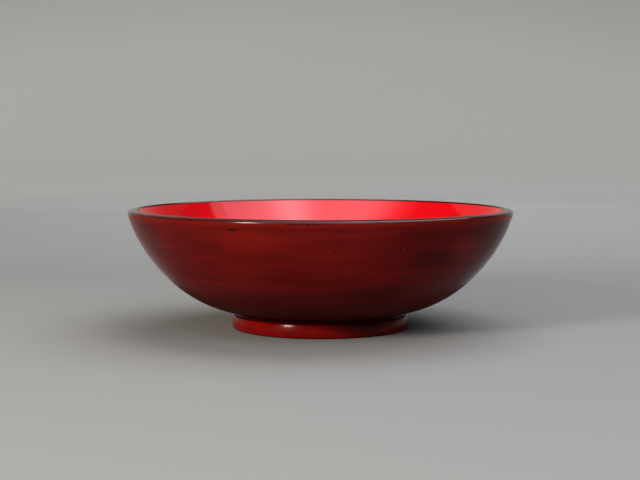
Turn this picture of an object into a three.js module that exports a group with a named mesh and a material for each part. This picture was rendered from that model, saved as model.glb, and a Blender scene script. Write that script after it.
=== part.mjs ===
// An open lacquered bowl on a foot ring: turned wood, cloth and ground over the wood, lacquer coats on top.
// Millimetres, +Z up. The origin is the centre of the foot, on the surface that the bowl stands on.
import * as THREE from "three";

const degrees = THREE.MathUtils.degToRad;

// Bowl, measured on the finished surface
const RIM_RADIUS = 120; // outermost radius, on the lip
const HEIGHT = 75; // table to the top of the lip
const WALL = 6.2; // thickness of the wall, lacquer to lacquer
const RIM_LEAN = degrees(16.6); // outward lean of the wall under the lip
const RIM_STRETCH = 26.4; // how strongly the wall keeps to that lean
const UNDERSIDE_HEIGHT = 10.9; // table to the underside, at the groove
const UNDERSIDE_RISE = degrees(6); // slope of the underside at the groove
const UNDERSIDE_STRETCH = 33.4; // how strongly the underside keeps to that slope
const BASE_THICKNESS = 7.3; // floor of the bowl to the recess, on the axis
const FLOOR_FLAT = 20; // how strongly the floor keeps level round the axis
const FLOOR_STRETCH = 15; // how strongly the floor keeps to the wall's slope

// Foot ring, measured on the finished surface
const FOOT_RADIUS = 55.6;
const FOOT_WIDTH = 9.4; // outside to recess
const FOOT_EDGE_RADIUS = 1.4; // rounding of the edges that stand on the table
const SHOULDER_RADIUS = 1.8; // rounding of the top edge
const GROOVE_DEPTH = 2.4; // groove between underside and shoulder
const GROOVE_HEIGHT = 2.3;

// Layers, from the outside in
const LACQUER = 0.3;
const GROUND = 0.7; // ground coat, or cloth soaked in it
const BOND = 0.1; // glue or filler between neighbours

// Reach of each layer
const LIP_COAT_ANGLE = degrees(60); // black coat, either side of the top of the lip
const RIM_CLOTH_REACH = 14; // down each side of the wall from the lip
const JOINT_CLOTH_REACH = 10; // up the underside from the groove
const BASE_CLOTH_TURN_UP = 2; // up the inside of the foot
const SPIGOT_DEPTH = 2.1; // how far the bowl's wood reaches into the foot ring

// Facets
const TURN_FACETS = 40;
const WALL_STEPS = 6;
const FLOOR_STEPS = 4;
const ROUND_STEPS = 2;
const LIP_STEPS = 4;

// Sizes that follow from the ones above
const skin = LACQUER + BOND + GROUND + BOND; // finished surface to wood
const lipRadius = WALL / 2;
const grooveRadius = FOOT_RADIUS - GROOVE_DEPTH;
const ledgeHeight = UNDERSIDE_HEIGHT - GROOVE_HEIGHT;
const jointHeight = ledgeHeight + GROOVE_HEIGHT / 2;
const footInnerRadius = FOOT_RADIUS - FOOT_WIDTH;
const recessHeight = jointHeight - SPIGOT_DEPTH - skin;
const spigotRadius = footInnerRadius + skin - BOND;

const at = (r, z) => new THREE.Vector2(r, z);

// A station is a point of the finished outline in the r, z half plane, with the way out of the material.
// On a rounded edge it is kept as the centre of the rounding, its radius and the way to the sharp corner.
const plain = (point, out) => ({ centre: point, radius: 0, out, corner: out });
const onRound = (centre, radius, angle, corner) => ({
  centre,
  radius,
  out: at(Math.cos(angle), Math.sin(angle)),
  corner,
});

// The station's place at a depth under the finished surface. Past its centre a rounding becomes sharp.
function under(station, depth) {
  const reach = station.radius - depth;
  const way = reach > 0 ? station.out : station.corner;
  return station.centre.clone().addScaledVector(way, reach);
}

// A rounded convex edge between two outward directions at right angles.
function roundedEdge(sharp, radius, startAngle, endAngle) {
  const corner = at(Math.cos(startAngle) + Math.cos(endAngle), Math.sin(startAngle) + Math.sin(endAngle));
  const centre = sharp.clone().addScaledVector(corner, -radius);
  return Array.from({ length: ROUND_STEPS + 1 }, (_, i) => {
    const angle = startAngle + ((endAngle - startAngle) * i) / ROUND_STEPS;
    return onRound(centre, radius, angle, corner);
  });
}

// Outer wall, from the lip to the groove
const lipCentre = at(RIM_RADIUS - lipRadius, HEIGHT - lipRadius);
const lipEnd = at(Math.cos(RIM_LEAN), -Math.sin(RIM_LEAN));
const downWall = at(-Math.sin(RIM_LEAN), -Math.cos(RIM_LEAN));
const upUnderside = at(Math.cos(UNDERSIDE_RISE), Math.sin(UNDERSIDE_RISE));
const wallTop = lipCentre.clone().addScaledVector(lipEnd, lipRadius);
const wallFoot = at(grooveRadius, UNDERSIDE_HEIGHT);
const wallCurve = new THREE.CubicBezierCurve(
  wallTop,
  wallTop.clone().addScaledVector(downWall, RIM_STRETCH),
  wallFoot.clone().addScaledVector(upUnderside, UNDERSIDE_STRETCH),
  wallFoot,
);
const wallLength = wallCurve.getLength();
const plainStretch = wallLength - RIM_CLOTH_REACH - JOINT_CLOTH_REACH;
const plainStops = Array.from(
  { length: WALL_STEPS + 1 },
  (_, i) => RIM_CLOTH_REACH + (plainStretch * i) / WALL_STEPS,
);
const wallStops = [0, ...plainStops, wallLength];

const outerWall = wallStops.map((stop) => {
  const tangent = wallCurve.getTangentAt(stop / wallLength);
  return plain(wallCurve.getPointAt(stop / wallLength), at(-tangent.y, tangent.x));
});
const innerWall = outerWall
  .map((station) => plain(under(station, WALL), station.out.clone().negate()))
  .reverse();

// Floor, from the axis to the inner wall
const floorRim = innerWall[0].centre;
const floorCentre = at(0, recessHeight + BASE_THICKNESS);
const floorCurve = new THREE.CubicBezierCurve(
  floorCentre,
  floorCentre.clone().add(at(FLOOR_FLAT, 0)),
  floorRim.clone().addScaledVector(upUnderside, -FLOOR_STRETCH),
  floorRim,
);
const floor = Array.from({ length: FLOOR_STEPS }, (_, i) => {
  const tangent = floorCurve.getTangentAt(i / FLOOR_STEPS);
  return plain(floorCurve.getPointAt(i / FLOOR_STEPS), at(-tangent.y, tangent.x));
});

// Lip, from inside to outside
const lipTop = Math.PI / 2;
const lipStation = (fromTop) => onRound(lipCentre, lipRadius, lipTop - fromTop, at(0, 1));
const lipCoat = Array.from(
  { length: LIP_STEPS + 1 },
  (_, i) => lipStation(LIP_COAT_ANGLE * ((2 * i) / LIP_STEPS - 1)),
);
const lipTurn = lipStation((LIP_COAT_ANGLE + lipTop + RIM_LEAN) / 2);
const lip = [...lipCoat, lipTurn];

// Groove and foot, from the underside round to the axis
const undersideOut = outerWall.at(-1).out;
const grooveTop = plain(wallFoot, at(1, undersideOut.y / (1 + undersideOut.x)));
const grooveMiddle = plain(at(grooveRadius, jointHeight), at(1, 0));
const grooveBottom = plain(at(grooveRadius, ledgeHeight), at(1, 1));
const shoulderRadius = Math.min(SHOULDER_RADIUS, GROOVE_DEPTH);
const shoulder = roundedEdge(at(FOOT_RADIUS, ledgeHeight), shoulderRadius, Math.PI / 2, 0);
const outerEdge = roundedEdge(at(FOOT_RADIUS, 0), FOOT_EDGE_RADIUS, 0, -Math.PI / 2);
const innerEdge = roundedEdge(at(footInnerRadius, 0), FOOT_EDGE_RADIUS, -Math.PI / 2, -Math.PI);
const turnUp = plain(at(footInnerRadius, recessHeight - BASE_CLOTH_TURN_UP), at(-1, 0));
const recessCorner = plain(at(footInnerRadius, recessHeight), at(-1, -1));
const recessCentre = plain(at(0, recessHeight), at(0, -1));

// Drops a point that falls on the one before it.
const distinct = (points) => points.filter((p, i) => i === 0 || p.distanceTo(points[i - 1]) > BOND / 10);

// Draws each end that isn't on the axis back by half a bond, along the run.
function drawnBack(run) {
  const points = distinct(run);
  const ends = [
    [0, 1],
    [points.length - 1, points.length - 2],
  ];
  for (const [end, next] of ends) {
    if (points[end].x === 0) continue;
    const along = points[next].clone().sub(points[end]).normalize();
    points[end].addScaledVector(along, BOND / 2);
  }
  return points;
}

// The outline of a layer that lies between two depths along a run of stations.
function layerOutline(stations, near, far) {
  const face = drawnBack(stations.map((station) => under(station, near)));
  const back = drawnBack(stations.map((station) => under(station, far)));
  return [...face, ...back.reverse()];
}

const lacquerOutline = (stations) => layerOutline(stations, 0, LACQUER);
const groundOutline = (stations) => layerOutline(stations, LACQUER + BOND, LACQUER + BOND + GROUND);

// Turns an outline round the axis. An outline away from the axis is closed on itself.
function turned(outline) {
  const points = [...outline].reverse();
  if (points[0].x > 0) points.push(points[0].clone());
  return new THREE.LatheGeometry(points, TURN_FACETS).rotateX(Math.PI / 2);
}

function bowlCoreOutline() {
  const seat = jointHeight + BOND / 2;
  const covered = [...floor, ...innerWall, ...lip, ...outerWall.slice(0, -1), grooveTop];
  return distinct([
    ...covered.map((station) => under(station, skin)),
    at(grooveRadius - skin, seat),
    at(spigotRadius, seat),
    at(spigotRadius, recessHeight + skin),
    at(0, recessHeight + skin),
  ]);
}

function footRingOutline() {
  const seat = jointHeight - BOND / 2;
  const covered = [grooveBottom, ...shoulder, ...outerEdge, ...innerEdge];
  return distinct([
    at(grooveRadius - skin, seat),
    ...covered.map((station) => under(station, skin)),
    at(footInnerRadius + skin, seat),
  ]);
}

const finish = (color, roughness) => new THREE.MeshStandardMaterial({ color, roughness, metalness: 0 });
const wood = finish(0xb58a5c, 0.7);
const cloth = finish(0xb4a27c, 0.95);
const ground = finish(0x4c3b2f, 0.85);
const vermilion = finish(0xcf1119, 0.1);
const black = finish(0x1c0d0b, 0.1);
const redBrown = finish(0x5c100d, 0.1);
const red = finish(0x720608, 0.1);

const bowl = new THREE.Group();

function add(name, outline, material) {
  const mesh = new THREE.Mesh(turned(outline), material);
  mesh.name = name;
  bowl.add(mesh);
}

// Wood
add("bowl_core", bowlCoreOutline(), wood);
add("foot_ring", footRingOutline(), wood);

// Cloth and ground over the wood
const clothedInside = innerWall.slice(-2);
const clothedOutside = outerWall.slice(0, 2);
const jointUnderside = outerWall.slice(-2, -1);
add("well_cloth", groundOutline([...floor, innerWall[0]]), cloth);
add("inner_ground", groundOutline(innerWall.slice(0, -1)), ground);
add("rim_cloth", groundOutline([...clothedInside, ...lip, ...clothedOutside]), cloth);
add("outer_ground", groundOutline(outerWall.slice(1, -1)), ground);
add("foot_joint_cloth", groundOutline([...jointUnderside, grooveTop, grooveBottom, ...shoulder]), cloth);
add("foot_ground", groundOutline([shoulder.at(-1), ...outerEdge, ...innerEdge, turnUp]), ground);
add("base_cloth", groundOutline([turnUp, recessCorner, recessCentre]), cloth);

// Lacquer on top
add("inner_lacquer", lacquerOutline([...floor, ...innerWall, lipCoat[0]]), vermilion);
add("rim_lacquer", lacquerOutline(lipCoat), black);
const outside = [lipCoat.at(-1), lipTurn, ...outerWall.slice(0, -1), grooveTop, grooveMiddle];
const footSides = [grooveMiddle, grooveBottom, ...shoulder, ...outerEdge, ...innerEdge, turnUp];
add("outer_lacquer", lacquerOutline(outside), redBrown);
add("foot_lacquer", lacquerOutline(footSides), red);
add("base_lacquer", lacquerOutline([turnUp, recessCorner, recessCentre]), black);

export default bowl;
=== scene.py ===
"""A lacquered bowl on a foot ring, dressed and lit for a studio picture.

Metres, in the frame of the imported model: +Z up, with the origin at the centre of the foot, on the table.
The camera stands on the -Y side. Azimuths are measured from there, and grow towards +X.
"""

import math
from collections import namedtuple

import bmesh
import bpy
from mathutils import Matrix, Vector

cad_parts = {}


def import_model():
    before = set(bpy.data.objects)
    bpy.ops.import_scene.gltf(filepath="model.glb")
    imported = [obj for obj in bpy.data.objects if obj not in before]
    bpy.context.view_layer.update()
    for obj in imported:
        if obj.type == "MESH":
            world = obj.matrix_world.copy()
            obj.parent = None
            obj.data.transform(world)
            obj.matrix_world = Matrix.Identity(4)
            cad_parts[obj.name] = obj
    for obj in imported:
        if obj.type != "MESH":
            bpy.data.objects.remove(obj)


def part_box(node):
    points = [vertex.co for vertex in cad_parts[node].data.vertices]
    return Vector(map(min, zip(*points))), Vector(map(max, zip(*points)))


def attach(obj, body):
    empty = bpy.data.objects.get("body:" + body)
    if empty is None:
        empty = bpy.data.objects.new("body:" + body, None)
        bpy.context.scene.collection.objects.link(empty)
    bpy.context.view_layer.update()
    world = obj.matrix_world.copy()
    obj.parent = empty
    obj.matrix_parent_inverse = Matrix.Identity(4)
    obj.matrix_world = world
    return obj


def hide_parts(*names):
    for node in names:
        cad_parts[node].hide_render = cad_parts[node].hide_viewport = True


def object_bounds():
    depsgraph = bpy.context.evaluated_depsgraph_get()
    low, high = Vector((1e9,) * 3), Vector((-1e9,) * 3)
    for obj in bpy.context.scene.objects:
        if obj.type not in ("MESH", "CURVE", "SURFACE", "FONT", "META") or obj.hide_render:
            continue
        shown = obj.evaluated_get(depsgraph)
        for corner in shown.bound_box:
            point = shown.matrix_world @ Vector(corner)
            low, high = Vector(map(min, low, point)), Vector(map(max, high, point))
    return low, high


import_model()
cad_low, cad_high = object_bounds()

MM = 0.001

# Bowl, measured on the finished surface
HEIGHT = cad_high.z
RIM_RADIUS = 120 * MM
WALL = 6.2 * MM
RIM_LEAN = math.radians(16.6)
RIM_STRETCH = 26.4 * MM
LIP_SLOPE = math.radians(10.5)
LIP_INNER_RADIUS = 1.3 * MM
LIP_EDGE_RADIUS = 1.25 * MM
LIP_SIDE_RADIUS = 4.8 * MM
LIP_SIDE_END = math.radians(8)
UNDERSIDE_HEIGHT = 10.9 * MM
UNDERSIDE_RISE = math.radians(6)
UNDERSIDE_STRETCH = 33.4 * MM
BASE_THICKNESS = 7.3 * MM
FLOOR_FLAT = 20 * MM
FLOOR_STRETCH = 15 * MM

# Foot ring, measured on the finished surface
FOOT_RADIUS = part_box("foot_lacquer")[1].x
FOOT_WIDTH = 9.4 * MM
FOOT_EDGE_RADIUS = 1.4 * MM
FOOT_SIDE_RADIUS = 24 * MM
FOOT_WIDEST = 2.5 * MM
SHOULDER_RADIUS = 0.7 * MM
GROOVE_DEPTH = 2.4 * MM
GROOVE_HEIGHT = 2.3 * MM
GROOVE_FILLET = 0.5 * MM
RECESS_FILLET = 1.5 * MM

# Layers, from the outside in, and how far each reaches
LACQUER = 0.3 * MM
GROUND = 0.7 * MM
BOND = 0.1 * MM
SEAM = 0.01 * MM
RIM_CLOTH_REACH = 14 * MM
JOINT_CLOTH_REACH = 10 * MM
BASE_CLOTH_TURN_UP = 2 * MM
SPIGOT_DEPTH = 2.1 * MM

# Fineness of the turned meshes
TURN_FACETS = 180
RIM_STEPS = 6
WALL_STEPS = 30
JOINT_STEPS = 6
FLOOR_STEPS = 18
ROUND_STEPS = 8
FOOT_SIDE_STEPS = 8
LIP_STEPS = 8
CURVE_SAMPLES = 400
SHARP_EDGE = math.radians(35)

# Sizes that follow from the ones above
skin = LACQUER + BOND + GROUND + BOND
lip_radius = WALL / 2
groove_radius = FOOT_RADIUS - GROOVE_DEPTH
ledge_height = UNDERSIDE_HEIGHT - GROOVE_HEIGHT
joint_height = ledge_height + GROOVE_HEIGHT / 2
foot_inner_radius = FOOT_RADIUS - FOOT_WIDTH
recess_height = joint_height - SPIGOT_DEPTH - skin
spigot_radius = foot_inner_radius + skin - BOND

# Camera, from the outline of the bowl in the photograph
CAMERA_PLACE = Vector((-0.0002, -0.8633, 0.1243))
CAMERA_PITCH = math.radians(4.6)
CAMERA_LENS = 77.3
CAMERA_SENSOR = 36.0


# Outline of the bowl

# A station is a point of the finished outline in the r, z half plane, with the way out of the material.
# On a rounded edge it is kept as the centre of the rounding, its radius and the way to the sharp corner.
# A hollow edge has a negative radius.
Station = namedtuple("Station", "centre radius out corner")


def at(r, z):
    return Vector((r, z))


def direction(angle):
    return at(math.cos(angle), math.sin(angle))


def plain(place, out):
    return Station(place, 0.0, out, out)


def under(station, depth):
    """The station's place at a depth under the finished surface. A rounding turns sharp past its centre."""
    reach = station.radius - depth
    way = station.out if reach > 0 else station.corner
    return station.centre + way * reach


def steps(start, end, count):
    return [start + (end - start) * i / count for i in range(count + 1)]


def between(start, end):
    """The way from a rounding's centre to the sharp corner, for a radius of 1 and two outward angles."""
    first, last = direction(start), direction(end)
    return (first + last) / (1 + first.dot(last))


def rounded(sharp, radius, start, end):
    """A rounded outer edge between two outward angles."""
    corner = between(start, end)
    centre = sharp - corner * radius
    return [Station(centre, radius, direction(a), corner) for a in steps(start, end, ROUND_STEPS)]


def filleted(sharp, radius, start, end):
    """A rounded hollow edge between two outward angles."""
    centre = sharp + between(start, end) * radius
    return [Station(centre, -radius, direction(a), direction(a)) for a in steps(start, end, ROUND_STEPS)]


def along(controls, stops):
    """(place, direction) at each distance from the start of a cubic curve."""
    a, b, c, d = controls
    table = []
    for i in range(CURVE_SAMPLES + 1):
        t = i / CURVE_SAMPLES
        s = 1 - t
        place = a * s**3 + b * (3 * s * s * t) + c * (3 * s * t * t) + d * t**3
        slope = (b - a) * (s * s) + (c - b) * (2 * s * t) + (d - c) * (t * t)
        far = table[-1][0] + (place - table[-1][1]).length if table else 0.0
        table.append((far, place, slope.normalized()))
    length = table[-1][0]
    found = []
    for stop in stops(length):
        i = next(k for k in range(1, len(table)) if table[k][0] >= stop - SEAM or k == CURVE_SAMPLES)
        (s0, p0, d0), (s1, p1, d1) = table[i - 1], table[i]
        share = min(1.0, max(0.0, (stop - s0) / (s1 - s0)))
        found.append((p0.lerp(p1, share), d0.lerp(d1, share).normalized()))
    return found


def wall_stops(length):
    plain_end = length - JOINT_CLOTH_REACH
    return [
        *steps(0.0, RIM_CLOTH_REACH, RIM_STEPS)[:-1],
        *steps(RIM_CLOTH_REACH, plain_end, WALL_STEPS)[:-1],
        *steps(plain_end, length, JOINT_STEPS),
    ]


def floor_stops(length):
    return steps(0.0, length, FLOOR_STEPS)


# Outer wall, from the lip to the groove
lip_centre = at(RIM_RADIUS - lip_radius, HEIGHT - lip_radius)
wall_top = lip_centre + direction(-RIM_LEAN) * lip_radius
wall_foot = at(groove_radius, UNDERSIDE_HEIGHT)
down_wall = at(-math.sin(RIM_LEAN), -math.cos(RIM_LEAN))
up_underside = direction(UNDERSIDE_RISE)
wall_controls = (
    wall_top,
    wall_top + down_wall * RIM_STRETCH,
    wall_foot + up_underside * UNDERSIDE_STRETCH,
    wall_foot,
)
outer_wall = [plain(p, at(-d.y, d.x)) for p, d in along(wall_controls, wall_stops)]
inner_wall = [plain(under(s, WALL), -s.out) for s in reversed(outer_wall)]

# Floor, from the axis to the inner wall
floor_rim = inner_wall[0].centre
floor_centre = at(0.0, recess_height + BASE_THICKNESS)
floor_controls = (
    floor_centre,
    floor_centre + at(FLOOR_FLAT, 0.0),
    floor_rim - up_underside * FLOOR_STRETCH,
    floor_rim,
)
floor = [plain(p, at(-d.y, d.x)) for p, d in along(floor_controls, floor_stops)][:-1]

# Lip, from inside to outside: a rounded inner edge as high as the bowl, a top that slopes outwards,
# a rounded outer edge, and a side that swells a little before it runs into the wall
right_angle = math.pi / 2
lip_top_angle = right_angle - LIP_SLOPE


def lip_arc(centre, radius, start, end):
    ways = [direction(a) for a in steps(start, end, LIP_STEPS)]
    return [Station(centre, radius, way, way) for way in ways]


inner_line = inner_wall[-1].centre - inner_wall[-1].out * LIP_INNER_RADIUS
inner_climb = (HEIGHT - LIP_INNER_RADIUS - inner_line.y) / -down_wall.y
lip_inner_centre = inner_line - down_wall * inner_climb

top_way = direction(lip_top_angle)
edge_offset = direction(LIP_SIDE_END) * (LIP_SIDE_RADIUS - LIP_EDGE_RADIUS)
side_line = wall_top - direction(-RIM_LEAN) * LIP_SIDE_RADIUS
edge_level = lip_inner_centre.dot(top_way) + LIP_INNER_RADIUS - LIP_EDGE_RADIUS
side_climb = (edge_level - (side_line + edge_offset).dot(top_way)) / -down_wall.dot(top_way)
lip_side_centre = side_line - down_wall * side_climb

lip_coat = [
    *lip_arc(lip_inner_centre, LIP_INNER_RADIUS, math.pi - RIM_LEAN, lip_top_angle),
    *lip_arc(lip_side_centre + edge_offset, LIP_EDGE_RADIUS, lip_top_angle, LIP_SIDE_END),
]
lip_outside = lip_arc(lip_side_centre, LIP_SIDE_RADIUS, LIP_SIDE_END, -RIM_LEAN)


# Groove and foot, from the underside round to the axis
def foot_angle(height):
    """The outward angle of the foot's side, which bulges a little, at a height."""
    return math.asin((height - FOOT_WIDEST) / FOOT_SIDE_RADIUS)


def foot_place(height):
    return at(FOOT_RADIUS - FOOT_SIDE_RADIUS * (1 - math.cos(foot_angle(height))), height)


underside_angle = math.atan2(outer_wall[-1].out.y, outer_wall[-1].out.x)
groove_top = filleted(wall_foot, GROOVE_FILLET, underside_angle, 0.0)
groove_middle = plain(at(groove_radius, joint_height), at(1.0, 0.0))
groove_bottom = filleted(at(groove_radius, ledge_height), GROOVE_FILLET, 0.0, right_angle)
shoulder = rounded(foot_place(ledge_height), SHOULDER_RADIUS, right_angle, foot_angle(ledge_height))
foot_side_heights = steps(ledge_height - SHOULDER_RADIUS, FOOT_EDGE_RADIUS, FOOT_SIDE_STEPS)[1:-1]
foot_side = [plain(foot_place(z), direction(foot_angle(z))) for z in foot_side_heights]
outer_edge = rounded(foot_place(0.0), FOOT_EDGE_RADIUS, foot_angle(0.0), -right_angle)
inner_edge = rounded(at(foot_inner_radius, 0.0), FOOT_EDGE_RADIUS, -right_angle, -math.pi)
turn_up = plain(at(foot_inner_radius, recess_height - BASE_CLOTH_TURN_UP), at(-1.0, 0.0))
recess_corner = filleted(at(foot_inner_radius, recess_height), RECESS_FILLET, -math.pi, -right_angle)
recess_centre = plain(at(0.0, recess_height), at(0.0, -1.0))

# Runs of stations that the layers cover
rim_cloth_stop = len(outer_wall) - 1 - RIM_STEPS
clothed_inside = inner_wall[rim_cloth_stop:]
clothed_outside = outer_wall[: RIM_STEPS + 1]
joint_stop = len(outer_wall) - 1 - JOINT_STEPS
joint_underside = outer_wall[joint_stop:-1]
lip = [*lip_coat, *lip_outside[1:]]
floor_stretch = [*floor, *inner_wall[: JOINT_STEPS + 1]]
inside_stretch = inner_wall[JOINT_STEPS : rim_cloth_stop + 1]
outside_stretch = outer_wall[RIM_STEPS : joint_stop + 1]
foot_sides = [*foot_side, *outer_edge, *inner_edge[1:], turn_up]
recess = [turn_up, *recess_corner, recess_centre]


def drawn_back(run, gap):
    """The run with each end that isn't on the axis drawn back by half a gap."""
    points = [p.copy() for i, p in enumerate(run) if i == 0 or (p - run[i - 1]).length > SEAM / 2]
    for end, after in ((0, 1), (-1, -2)):
        if points[end].x > 0:
            points[end] += (points[after] - points[end]).normalized() * (gap / 2)
    return points


def layer(stations, near, far, gap):
    """The outline of a layer between two depths along a run of stations."""
    face = drawn_back([under(s, near) for s in stations], gap)
    back = drawn_back([under(s, far) for s in stations], gap)
    return face + back[::-1]


def lacquer(stations):
    return layer(stations, 0.0, LACQUER, SEAM)


def ground(stations):
    return layer(stations, LACQUER + BOND, LACQUER + BOND + GROUND, BOND)


def bowl_core():
    seat = joint_height + BOND / 2
    covered = [*floor, *inner_wall, *lip, *outer_wall[:-1], *groove_top]
    return [
        *[under(s, skin) for s in covered],
        at(groove_radius - skin, seat),
        at(spigot_radius, seat),
        at(spigot_radius, recess_height + skin),
        at(0.0, recess_height + skin),
    ]


def foot_ring():
    seat = joint_height - BOND / 2
    covered = [*groove_bottom, *shoulder, *foot_side, *outer_edge, *inner_edge]
    return [
        at(groove_radius - skin, seat),
        *[under(s, skin) for s in covered],
        at(foot_inner_radius + skin, seat),
    ]


def distinct(points):
    return [p for i, p in enumerate(points) if (p - points[i - 1]).length > SEAM / 2]


def turned(name, outline):
    """An object turned round the axis. Its attribute run is the distance along the outline."""
    points = distinct(outline)
    places, runs, rings, run = [], [], [], 0.0
    for i, p in enumerate(points):
        run += (p - points[i - 1]).length if i else 0.0
        count = TURN_FACETS if p.x > 0 else 1
        rings.append(range(len(places), len(places) + count))
        for k in range(count):
            angle = 2 * math.pi * k / TURN_FACETS
            places.append((p.x * math.sin(angle), -p.x * math.cos(angle), p.y))
            runs.append(run)
    faces = []
    for i, ring in enumerate(rings):
        after = rings[(i + 1) % len(rings)]
        if len(ring) == len(after) == 1:
            continue
        for k in range(TURN_FACETS):
            m = (k + 1) % TURN_FACETS
            near = [ring[k % len(ring)], ring[m % len(ring)]]
            far = [after[m % len(after)], after[k % len(after)]]
            faces.append(list(dict.fromkeys(near + far)))
    mesh = bpy.data.meshes.new(name)
    mesh.from_pydata(places, [], faces)
    mesh.attributes.new("run", "FLOAT", "POINT").data.foreach_set("value", runs)
    shape = bmesh.new()
    shape.from_mesh(mesh)
    bmesh.ops.recalc_face_normals(shape, faces=shape.faces)
    shape.to_mesh(mesh)
    shape.free()
    mesh.shade_smooth()
    mesh.set_sharp_from_angle(angle=SHARP_EDGE)
    made = bpy.data.objects.new(name, mesh)
    bpy.context.scene.collection.objects.link(made)
    return made


# Materials

WHITE = (1.0, 1.0, 1.0)
BLACK = (0.0, 0.0, 0.0)

# The stretch of a noise that most of its values lie in, and its middle
NOISE_LOW = 0.2
NOISE_HIGH = 0.8
NOISE_MIDDLE = 0.5

# A spot is full out to this share of its radius, and its fraying is finer across than around
SPOT_FULL = 0.2
FRAY_STRETCH = (1.0, 1.0, 3.0)

# Depth of the brush strokes in the lacquer
BRUSH_RELIEF = 0.02 * MM


class Paint:
    """A node material under construction. An input that is a socket is linked, and any other is a value."""

    def __init__(self, name, **shader):
        self.material = bpy.data.materials.new(name)
        self.material.use_nodes = True
        self.tree = self.material.node_tree
        self.shader = self.tree.nodes["Principled BSDF"]
        self.set(self.shader, shader)

    def set(self, node, inputs):
        for key, value in inputs.items():
            socket = node.inputs[key.replace("_", " ") if isinstance(key, str) else key]
            if isinstance(value, bpy.types.NodeSocket):
                self.tree.links.new(value, socket)
            else:
                socket.default_value = value

    def node(self, kind, inputs, **settings):
        made = self.tree.nodes.new("ShaderNode" + kind)
        for key, value in settings.items():
            setattr(made, key, value)
        self.set(made, inputs)
        return made

    def place(self):
        return self.node("TexCoord", {}).outputs["Object"]

    def height(self):
        return self.node("SeparateXYZ", {"Vector": self.place()}).outputs["Z"]

    def stretched(self, scale):
        """Object coordinates, stretched by a scale for each axis."""
        return self.node("Mapping", {"Vector": self.place(), "Scale": scale}).outputs["Vector"]

    def turning(self, around, across):
        """Coordinates whose noise runs round the bowl, in cycles per metre around and across the run."""
        place = self.node("SeparateXYZ", {"Vector": self.place()})
        run = self.node("Attribute", {}, attribute_name="run").outputs["Fac"]
        return self.node("CombineXYZ", {
            "X": self.math("MULTIPLY", place.outputs["X"], around),
            "Y": self.math("MULTIPLY", place.outputs["Y"], around),
            "Z": self.math("MULTIPLY", run, across),
        }).outputs["Vector"]

    def math(self, operation, a, b=0.0):
        return self.node("Math", {0: a, 1: b}, operation=operation).outputs[0]

    def noise(self, vector, scale=1.0, detail=3.0, roughness=0.5):
        inputs = {"Vector": vector, "Scale": scale, "Detail": detail, "Roughness": roughness}
        return self.node("TexNoise", inputs).outputs["Fac"]

    def fit(self, value, low, high, to_low, to_high):
        """The value's stretch from low to high, eased onto another stretch."""
        inputs = {"Value": value, "From Min": low, "From Max": high, "To Min": to_low, "To Max": to_high}
        return self.node("MapRange", inputs, interpolation_type="SMOOTHSTEP").outputs["Result"]

    def ramp(self, factor, *stops):
        made = self.node("ValToRGB", {"Fac": factor})
        elements = made.color_ramp.elements
        while len(elements) < len(stops):
            elements.new(1.0)
        for element, (position, colour) in zip(elements, stops):
            element.position = position
            element.color = (*colour, 1.0)
        return made.outputs["Color"]

    def mix(self, factor, a, b):
        # A Mix node repeats its socket names for each type of data, so its colour sockets go by number
        first, second, result = 6, 7, 2
        made = self.node("Mix", {"Factor": factor}, data_type="RGBA")
        for socket, value in ((made.inputs[first], a), (made.inputs[second], b)):
            if isinstance(value, bpy.types.NodeSocket):
                self.tree.links.new(value, socket)
            else:
                socket.default_value = (*value, 1.0)
        return made.outputs[result]

    def blend(self, a, b, share):
        """A mean of two values, with a share of the second and the rest of the first."""
        return self.math("ADD", self.math("MULTIPLY", a, 1 - share), self.math("MULTIPLY", b, share))

    def gloss(self, noise, smooth, rough):
        """A roughness that follows a noise."""
        return self.fit(noise, NOISE_LOW, NOISE_HIGH, smooth, rough)

    def bump(self, height, distance, strength):
        inputs = {"Height": height, "Distance": distance, "Strength": strength}
        return self.node("Bump", inputs).outputs["Normal"]

    def spot(self, azimuth, radius, height, wide, tall, grain, fray=1.0):
        """A mask, 1 in the middle of a spot and 0 outside it, with a frayed edge.

        The fraying has a grain in cycles per metre and a strength.
        """
        angle = math.radians(azimuth)
        local = self.node("Mapping", {
            "Vector": self.place(),
            "Location": (radius * math.sin(angle), -radius * math.cos(angle), height),
            "Rotation": (0.0, 0.0, angle),
            "Scale": (wide, wide, tall),
        }, vector_type="TEXTURE").outputs["Vector"]
        far = self.node("VectorMath", {0: local}, operation="LENGTH").outputs["Value"]
        rough = self.noise(self.stretched(FRAY_STRETCH), grain)
        frayed = self.math("MULTIPLY", self.math("SUBTRACT", rough, NOISE_MIDDLE), fray)
        return self.fit(self.math("ADD", far, frayed), SPOT_FULL, 1.0, 1.0, 0.0)


def wall_radius(height):
    """The outer wall's radius at a height."""
    above, below = next(
        (a.centre, b.centre) for a, b in zip(outer_wall, outer_wall[1:]) if b.centre.y <= height
    )
    share = (above.y - height) / (above.y - below.y)
    return above.x + (below.x - above.x) * share


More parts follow.
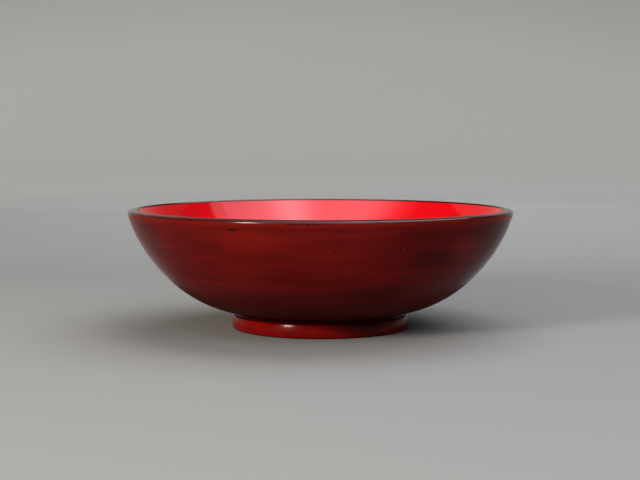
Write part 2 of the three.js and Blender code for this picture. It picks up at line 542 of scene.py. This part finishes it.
# Marks on the outer wall and the foot, some of them painted light and shade: azimuth, height, half their
# width and half their height
# Paler patches: mottling, with painted light where the lit side of the wall shows brighter
LIT_CLOUDS = (
    (-20.0, 63 * MM, 36 * MM, 10 * MM),
    (46.0, 58 * MM, 18 * MM, 8 * MM),
)
# Darker patches: mottling, with painted shade and dark reflections on the wall's right side
SHADE_CLOUDS = (
    (36.0, 52 * MM, 24 * MM, 10 * MM),
    (17.0, 31 * MM, 28 * MM, 8 * MM),
    (60.0, 67 * MM, 28 * MM, 6 * MM),
    (-62.0, 62 * MM, 30 * MM, 16 * MM),
)
SMUDGES_AND_LIP_SHADOW = (
    (-24.0, 69.2 * MM, 6.5 * MM, 0.9 * MM),
    (-43.4, 71.0 * MM, 1.6 * MM, 0.5 * MM),
    # A painted shadow: the dark line of shade just under the lip's edge
    (-3.5, 72.7 * MM, 16 * MM, 0.5 * MM),
)
SPECKS = (
    (2.5, 57.5 * MM, 0.5 * MM, 0.5 * MM),
    (23.7, 58.3 * MM, 0.5 * MM, 0.5 * MM),
    (-12.5, 32.4 * MM, 0.5 * MM, 0.5 * MM),
)
# Painted shade and dark reflection on the right of the foot, where the bowl's overhang shades it
FOOT_PAINTED_SHADE = (
    (26.0, 6.5 * MM, 36 * MM, 9 * MM),
)
CLOUD_GRAIN = 40.0
SMUDGE_GRAIN = 500.0
SMUDGE_FRAY = 3.0

# Tints of the marks, of the painted light and shade on the wall, of the painted shade in the groove, and of
# the darker bottom of the foot
LIT_RED = (0.220, 0.0090, 0.0066)
SHADE_CLOUD_BROWN = (0.050, 0.0040, 0.0034)
PAINTED_SHADE_BROWN = (0.025, 0.0008, 0.0006)
LIT_BAND_RED = (0.215, 0.0080, 0.0058)
SMUDGE_AND_SHADOW_BLACK = (0.010, 0.0020, 0.0018)
SPECK_PINK = (0.30, 0.10, 0.09)
FOOT_SHADE_RED = (0.03, 0.0006, 0.0005)
GROOVE_SHADE_RED = (0.04, 0.0006, 0.0004)
FOOT_BOTTOM_RED = (0.008, 0.0004, 0.0003)

# Heights between which the lacquer, its painted light and its painted shade change
PAINTED_SHADE_TOP = 45 * MM
DULL_FULL = 24 * MM
DULL_TOP = 36 * MM
LIT_BAND_START = 70 * MM
LIT_BAND_FULL = 72 * MM
WALL_GROOVE_FULL = UNDERSIDE_HEIGHT + 0.2 * MM
WALL_GROOVE_TOP = UNDERSIDE_HEIGHT + 2.5 * MM
FOOT_GROOVE_START = ledge_height - 0.3 * MM
FOOT_GROOVE_FULL = ledge_height + 0.2 * MM
FOOT_BOTTOM_FULL = 0.2 * MM
FOOT_BOTTOM_TOP = 1.3 * MM

# Distance between the cloth's threads
THREAD_PITCH = 0.9 * MM


def vermilion_lacquer():
    paint = Paint("vermilion_lacquer", IOR=2.0)
    cloud = paint.noise(paint.place(), scale=16.0)
    streak = paint.noise(paint.turning(around=9.0, across=420.0), detail=4.0, roughness=0.6)
    colour = paint.ramp(
        paint.blend(cloud, streak, 0.3),
        (0.3, (0.73, 0.0024, 0.0066)),
        (0.7, (0.83, 0.0038, 0.0096)),
    )
    paint.set(paint.shader, {
        "Base Color": colour,
        "Roughness": paint.gloss(streak, 0.05, 0.10),
        "Normal": paint.bump(streak, BRUSH_RELIEF, strength=0.25),
    })
    return paint.material


def red_brown_lacquer():
    paint = Paint("red_brown_lacquer", Specular_IOR_Level=0.045)
    cloud = paint.noise(paint.stretched((0.8, 0.8, 1.6)), scale=17.0, detail=4.0, roughness=0.55)
    streak = paint.noise(paint.turning(around=14.0, across=220.0), detail=4.0, roughness=0.5)
    colour = paint.ramp(
        paint.blend(cloud, streak, 0.5),
        (0.34, (0.074, 0.0038, 0.0031)),
        (0.51, (0.120, 0.0054, 0.0045)),
        (0.68, (0.176, 0.0076, 0.0062)),
    )

    def marked(marks, tint, strength, grain, fray=1.0):
        mixed = colour
        for azimuth, height, wide, tall in marks:
            spot = paint.spot(azimuth, wall_radius(height), height, wide, tall, grain, fray)
            mixed = paint.mix(paint.math("MULTIPLY", spot, strength), mixed, tint)
        return mixed

    # Paler and darker patches: mottling, with painted light and painted shade in it
    colour = marked(LIT_CLOUDS, LIT_RED, strength=0.5, grain=CLOUD_GRAIN)
    colour = marked(SHADE_CLOUDS, SHADE_CLOUD_BROWN, strength=0.6, grain=CLOUD_GRAIN)
    # Painted shade: the wall darkens towards the underside, where less light falls on it
    shade = paint.fit(paint.height(), UNDERSIDE_HEIGHT, PAINTED_SHADE_TOP, 0.7, 0.0)
    colour = paint.mix(shade, colour, PAINTED_SHADE_BROWN)
    # Painted light: a brighter red band just under the lip, where the key light falls on the lip's upright
    # side
    edge = paint.fit(paint.height(), LIT_BAND_START, LIT_BAND_FULL, 0.0, 0.5)
    colour = paint.mix(edge, colour, LIT_BAND_RED)
    # The smudges, and a painted shadow line just under the lip's edge
    colour = marked(SMUDGES_AND_LIP_SHADOW, SMUDGE_AND_SHADOW_BLACK, strength=0.9, grain=SMUDGE_GRAIN, fray=SMUDGE_FRAY)
    colour = marked(SPECKS, SPECK_PINK, strength=1.0, grain=SMUDGE_GRAIN)
    # Painted shade in the groove and just above it: a dark red, with its reflection dimmed by a black
    # specular tint
    groove = paint.fit(paint.height(), WALL_GROOVE_FULL, WALL_GROOVE_TOP, 1.0, 0.0)
    colour = paint.mix(groove, colour, GROOVE_SHADE_RED)
    polish = paint.gloss(streak, 0.09, 0.18)
    dull = paint.fit(paint.height(), DULL_FULL, DULL_TOP, 0.4, 0.0)
    paint.set(paint.shader, {
        "Base Color": colour,
        "Specular Tint": paint.mix(groove, WHITE, BLACK),
        "Roughness": paint.math("ADD", polish, dull),
        "Normal": paint.bump(streak, BRUSH_RELIEF, strength=0.25),
    })
    return paint.material


def black_lacquer():
    paint = Paint("black_lacquer")
    cloud = paint.noise(paint.place(), scale=60.0)
    streak = paint.noise(paint.turning(around=30.0, across=900.0))
    colour = paint.ramp(cloud, (0.35, (0.045, 0.003, 0.003)), (0.75, (0.090, 0.006, 0.005)))
    paint.set(paint.shader, {
        "Base Color": colour,
        "Roughness": paint.gloss(streak, 0.10, 0.18),
        "Normal": paint.bump(streak, BRUSH_RELIEF, strength=0.2),
    })
    return paint.material


def red_lacquer():
    paint = Paint("red_lacquer", Specular_IOR_Level=0.13)
    cloud = paint.noise(paint.stretched((1.0, 1.0, 2.0)), scale=45.0, detail=4.0, roughness=0.55)
    streak = paint.noise(paint.turning(around=16.0, across=800.0), detail=4.0, roughness=0.6)
    colour = paint.ramp(cloud, (0.3, (0.12, 0.0008, 0.0006)), (0.7, (0.25, 0.0012, 0.0009)))
    # Painted shade on the right of the foot
    for azimuth, height, wide, tall in FOOT_PAINTED_SHADE:
        spot = paint.spot(azimuth, FOOT_RADIUS, height, wide, tall, CLOUD_GRAIN)
        colour = paint.mix(paint.math("MULTIPLY", spot, 0.85), colour, FOOT_SHADE_RED)
    # Painted shade in the groove above the foot's shoulder, with its reflection dimmed
    groove = paint.fit(paint.height(), FOOT_GROOVE_START, FOOT_GROOVE_FULL, 0.0, 1.0)
    colour = paint.mix(groove, colour, GROOVE_SHADE_RED)
    # Darker towards the bottom edge of the foot, with its reflection dimmed there too
    foot_bottom = paint.fit(paint.height(), FOOT_BOTTOM_FULL, FOOT_BOTTOM_TOP, 1.0, 0.0)
    colour = paint.mix(foot_bottom, colour, FOOT_BOTTOM_RED)
    paint.set(paint.shader, {
        "Base Color": colour,
        "Specular Tint": paint.mix(paint.math("MAXIMUM", foot_bottom, groove), WHITE, BLACK),
        "Roughness": paint.gloss(streak, 0.13, 0.19),
        "Normal": paint.bump(streak, BRUSH_RELIEF, strength=0.25),
    })
    return paint.material


def wood():
    paint = Paint("wood")
    grain = paint.noise(paint.stretched((260.0, 14.0, 260.0)), detail=4.0, roughness=0.6)
    colour = paint.ramp(grain, (0.3, (0.30, 0.17, 0.08)), (0.7, (0.52, 0.33, 0.17)))
    paint.set(paint.shader, {
        "Base Color": colour,
        "Roughness": paint.gloss(grain, 0.55, 0.75),
        "Normal": paint.bump(grain, 0.1 * MM, strength=0.4),
    })
    return paint.material


def cloth():
    paint = Paint("cloth")
    place = paint.node("SeparateXYZ", {"Vector": paint.place()})
    threads = 2 * math.pi / THREAD_PITCH
    weave = paint.math(
        "MULTIPLY",
        paint.math("SINE", paint.math("MULTIPLY", place.outputs["X"], threads)),
        paint.math("SINE", paint.math("MULTIPLY", place.outputs["Y"], threads)),
    )
    colour = paint.ramp(
        paint.fit(weave, -1.0, 1.0, 0.0, 1.0),
        (0.2, (0.28, 0.22, 0.13)),
        (0.8, (0.46, 0.37, 0.22)),
    )
    paint.set(paint.shader, {
        "Base Color": colour,
        "Roughness": paint.fit(weave, -1.0, 1.0, 0.85, 0.95),
        "Normal": paint.bump(weave, 0.1 * MM, strength=0.5),
    })
    return paint.material


def ground_coat():
    paint = Paint("ground")
    grit = paint.noise(paint.place(), scale=900.0, detail=5.0, roughness=0.7)
    colour = paint.ramp(grit, (0.3, (0.050, 0.030, 0.020)), (0.7, (0.100, 0.062, 0.040)))
    paint.set(paint.shader, {
        "Base Color": colour,
        "Roughness": paint.gloss(grit, 0.75, 0.92),
        "Normal": paint.bump(grit, 0.05 * MM, strength=0.5),
    })
    return paint.material


finishes = {
    "wood": wood(),
    "cloth": cloth(),
    "ground": ground_coat(),
    "vermilion_lacquer": vermilion_lacquer(),
    "black_lacquer": black_lacquer(),
    "red_brown_lacquer": red_brown_lacquer(),
    "red_lacquer": red_lacquer(),
}

# Pieces: name, the solid that each stands for, its slot and its outline
inside_coat = [*floor, *inner_wall, lip_coat[0]]
outside_coat = [*lip_outside, *outer_wall[:-1], *groove_top, groove_middle]
foot_coat = [groove_middle, *groove_bottom, *shoulder, *foot_sides]
PIECES = (
    ("bowl_core_wood", "bowl_core", "wood", bowl_core()),
    ("foot_ring_wood", "foot_ring", "wood", foot_ring()),
    ("well_cloth_weave", "well_cloth", "cloth", ground(floor_stretch)),
    ("inner_ground_layer", "inner_ground", "ground", ground(inside_stretch)),
    ("rim_cloth_weave", "rim_cloth", "cloth", ground([*clothed_inside, *lip, *clothed_outside])),
    ("outer_ground_layer", "outer_ground", "ground", ground(outside_stretch)),
    (
        "foot_joint_cloth_weave",
        "foot_joint_cloth",
        "cloth",
        ground([*joint_underside, *groove_top, *groove_bottom, *shoulder]),
    ),
    ("foot_ground_layer", "foot_ground", "ground", ground([shoulder[-1], *foot_sides])),
    ("base_cloth_weave", "base_cloth", "cloth", ground(recess)),
    ("inner_lacquer_coat", "inner_lacquer", "vermilion_lacquer", lacquer(inside_coat)),
    ("rim_lacquer_coat", "rim_lacquer", "black_lacquer", lacquer(lip_coat)),
    ("outer_lacquer_coat", "outer_lacquer", "red_brown_lacquer", lacquer(outside_coat)),
    ("foot_lacquer_coat", "foot_lacquer", "red_lacquer", lacquer(foot_coat)),
    ("base_lacquer_coat", "base_lacquer", "black_lacquer", lacquer(recess)),
)
for name, node, slot, outline in PIECES:
    piece = turned(name, outline)
    piece.data.materials.append(finishes[slot])
    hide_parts(node)
    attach(piece, "root")


# Studio

FLOOR_RADIUS = 1.6
COVE_RADIUS = 0.5
WALL_TOP = 0.5
BACK_WALL_TOP = 1.2
SWEEP_FACETS = 96
COVE_STEPS = 12

# Colours of the lamps and of the dim light all round
WARM = (1.0, 0.90, 0.75)
COOL = (0.95, 0.96, 1.10)
NEAR_WHITE = (0.97, 1.00, 1.03)
DIM_GREY = (0.02, 0.02, 0.02)

# The paper pales along the floor towards the back, and darkens again up the wall
WAY_BACK = (0.0, 1.0, -1.7)
PAPER_START = -1.0
PAPER_END = 2.0
# It is palest at the far end of the floor and the foot of the wall behind, where the lamps reach least
PALEST = (0.86, 0.86, 0.84)
PALEST_START = 1.15
PALEST_FULL = 1.6
PALEST_TOP = 0.05


def paper():
    paint = Paint("backdrop_paper", Roughness=0.9, Specular_IOR_Level=0.1)
    way = {0: paint.place(), 1: WAY_BACK}
    depth = paint.node("VectorMath", way, operation="DOT_PRODUCT").outputs["Value"]
    stretch = {"Value": depth, "From Min": PAPER_START, "From Max": PAPER_END}
    shade = paint.ramp(
        paint.node("MapRange", stretch).outputs["Result"],
        (0.20, (0.34, 0.34, 0.33)),
        (0.44, (0.32, 0.32, 0.31)),
        (0.60, (0.47, 0.47, 0.46)),
        (0.84, (0.79, 0.79, 0.77)),
    )
    place = paint.node("SeparateXYZ", {"Vector": paint.place()}).outputs
    far = paint.fit(place["Y"], PALEST_START, PALEST_FULL, 0.0, 1.0)
    low = paint.fit(place["Z"], 0.0, PALEST_TOP, 1.0, 0.0)
    shade = paint.mix(paint.math("MULTIPLY", far, low), shade, PALEST)
    paint.set(paint.shader, {"Base Color": shade})
    return paint.material


def sweep():
    """A round floor that curves up into a wall, which stands taller behind the bowl."""
    outline = [at(0.0, 0.0), at(FLOOR_RADIUS / 2, 0.0)]
    for angle in steps(0.0, math.pi / 2, COVE_STEPS):
        rise = COVE_RADIUS * (1 - math.cos(angle))
        outline.append(at(FLOOR_RADIUS + COVE_RADIUS * math.sin(angle), rise))
    places, faces = [(0.0, 0.0, 0.0)], []
    for k in range(SWEEP_FACETS):
        angle = 2 * math.pi * k / SWEEP_FACETS
        behind = max(0.0, -math.cos(angle)) ** 0.5
        top = at(FLOOR_RADIUS + COVE_RADIUS, WALL_TOP + (BACK_WALL_TOP - WALL_TOP) * behind)
        places += [(p.x * math.sin(angle), -p.x * math.cos(angle), p.y) for p in [*outline[1:], top]]
    count = len(outline)
    for k in range(SWEEP_FACETS):
        here, after = 1 + k * count, 1 + (k + 1) % SWEEP_FACETS * count
        faces.append((0, here, after))
        faces += [(here + i, here + i + 1, after + i + 1, after + i) for i in range(count - 1)]
    mesh = bpy.data.meshes.new("backdrop")
    mesh.from_pydata(places, [], faces)
    mesh.shade_smooth()
    made = bpy.data.objects.new("backdrop", mesh)
    bpy.context.scene.collection.objects.link(made)
    made.data.materials.append(paper())


def towards(azimuth, elevation):
    a, e = math.radians(azimuth), math.radians(elevation)
    return Vector((math.sin(a) * math.cos(e), -math.cos(a) * math.cos(e), math.sin(e)))


def softbox(name, azimuth, elevation, distance, width, height, radiance, colour):
    """A rectangular lamp that faces the bowl, by the radiance of its face."""
    away = towards(azimuth, elevation)
    lamp = bpy.data.lights.new(name, "AREA")
    lamp.shape = "RECTANGLE"
    lamp.size = width
    lamp.size_y = height
    lamp.energy = radiance * math.pi * width * height
    lamp.color = colour
    made = bpy.data.objects.new(name, lamp)
    bpy.context.scene.collection.objects.link(made)
    made.location = away * distance
    made.rotation_euler = away.to_track_quat("Z", "Y").to_euler()


# Lit screen: a curved band high in front of the bowl, which shows as the sheen inside it
SCREEN_DISTANCE = 1.6
SCREEN_LOW = 26.0
SCREEN_HIGH = 60.0
SCREEN_ROWS = 7
SCREEN_COLUMNS = 112
SCREEN_RADIANCE = 0.95
# Its brightness by azimuth, and a brighter patch on it
SCREEN_PROFILE = (
    (-80.0, 0.0),
    (-64.0, 0.22),
    (-53.0, 0.6),
    (-41.0, 1.05),
    (-27.0, 1.15),
    (0.0, 1.0),
    (50.0, 1.1),
    (74.0, 0.85),
    (76.0, 0.55),
    (84.0, 0.55),
    (87.0, 0.0),
)
# Degrees that its right end turns outwards for each degree of elevation, fading to none in front
SCREEN_TURN = 0.4
PATCH_AZIMUTH = 22.0
PATCH_SPREAD = 11.0
PATCH_LOW = 1.25
PATCH_HIGH = 1.15


def screen_glow(azimuth, elevation):
    pairs = zip(SCREEN_PROFILE, SCREEN_PROFILE[1:])
    (a0, g0), (a1, g1) = next(p for p in pairs if azimuth <= p[1][0])
    glow = g0 + (g1 - g0) * (azimuth - a0) / (a1 - a0)
    rise = (elevation - SCREEN_LOW) / (SCREEN_HIGH - SCREEN_LOW)
    patch = PATCH_LOW + (PATCH_HIGH - PATCH_LOW) * rise
    return glow + patch * math.exp(-0.5 * ((azimuth - PATCH_AZIMUTH) / PATCH_SPREAD) ** 2)


def lit_screen():
    places, glows, faces = [], [], []
    for azimuth in steps(SCREEN_PROFILE[0][0], SCREEN_PROFILE[-1][0], SCREEN_COLUMNS):
        for elevation in steps(SCREEN_LOW, SCREEN_HIGH, SCREEN_ROWS):
            turn = SCREEN_TURN * (elevation - SCREEN_LOW) * max(0.0, azimuth) / SCREEN_PROFILE[-1][0]
            places.append(towards(azimuth + turn, elevation) * SCREEN_DISTANCE)
            glows.append(screen_glow(azimuth, elevation) * SCREEN_RADIANCE)
    across = SCREEN_ROWS + 1
    for column in range(SCREEN_COLUMNS):
        for corner in range(column * across, column * across + SCREEN_ROWS):
            faces.append((corner, corner + 1, corner + across + 1, corner + across))
    mesh = bpy.data.meshes.new("lit_screen")
    mesh.from_pydata(places, [], faces)
    mesh.attributes.new("glow", "FLOAT", "POINT").data.foreach_set("value", glows)
    material = bpy.data.materials.new("lit_screen")
    material.use_nodes = True
    tree = material.node_tree
    light = tree.nodes.new("ShaderNodeEmission")
    light.inputs["Color"].default_value = (*COOL, 1.0)
    glow = tree.nodes.new("ShaderNodeAttribute")
    glow.attribute_name = "glow"
    tree.links.new(glow.outputs["Fac"], light.inputs["Strength"])
    tree.links.new(light.outputs["Emission"], tree.nodes["Material Output"].inputs["Surface"])
    mesh.materials.append(material)
    made = bpy.data.objects.new("lit_screen", mesh)
    bpy.context.scene.collection.objects.link(made)
    made.visible_camera = False


def camera():
    made = bpy.data.objects.new("camera", bpy.data.cameras.new("camera"))
    bpy.context.scene.collection.objects.link(made)
    made.location = CAMERA_PLACE
    made.rotation_euler = (math.pi / 2 - CAMERA_PITCH, 0.0, 0.0)
    made.data.lens = CAMERA_LENS
    made.data.sensor_width = CAMERA_SENSOR
    bpy.context.scene.camera = made


def world():
    made = bpy.data.worlds.new("studio")
    made.use_nodes = True
    made.node_tree.nodes["Background"].inputs["Color"].default_value = (*DIM_GREY, 1.0)
    bpy.context.scene.world = made


sweep()
world()
camera()
lit_screen()
softbox(
    "key",
    azimuth=-43.0,
    elevation=21.0,
    distance=2.2,
    width=0.38,
    height=0.60,
    radiance=66.0,
    colour=WARM,
)
softbox(
    "overhead",
    azimuth=140.0,
    elevation=70.0,
    distance=1.4,
    width=1.5,
    height=1.5,
    radiance=2.2,
    colour=NEAR_WHITE,
)
bpy.context.scene.view_settings.view_transform = "Standard"
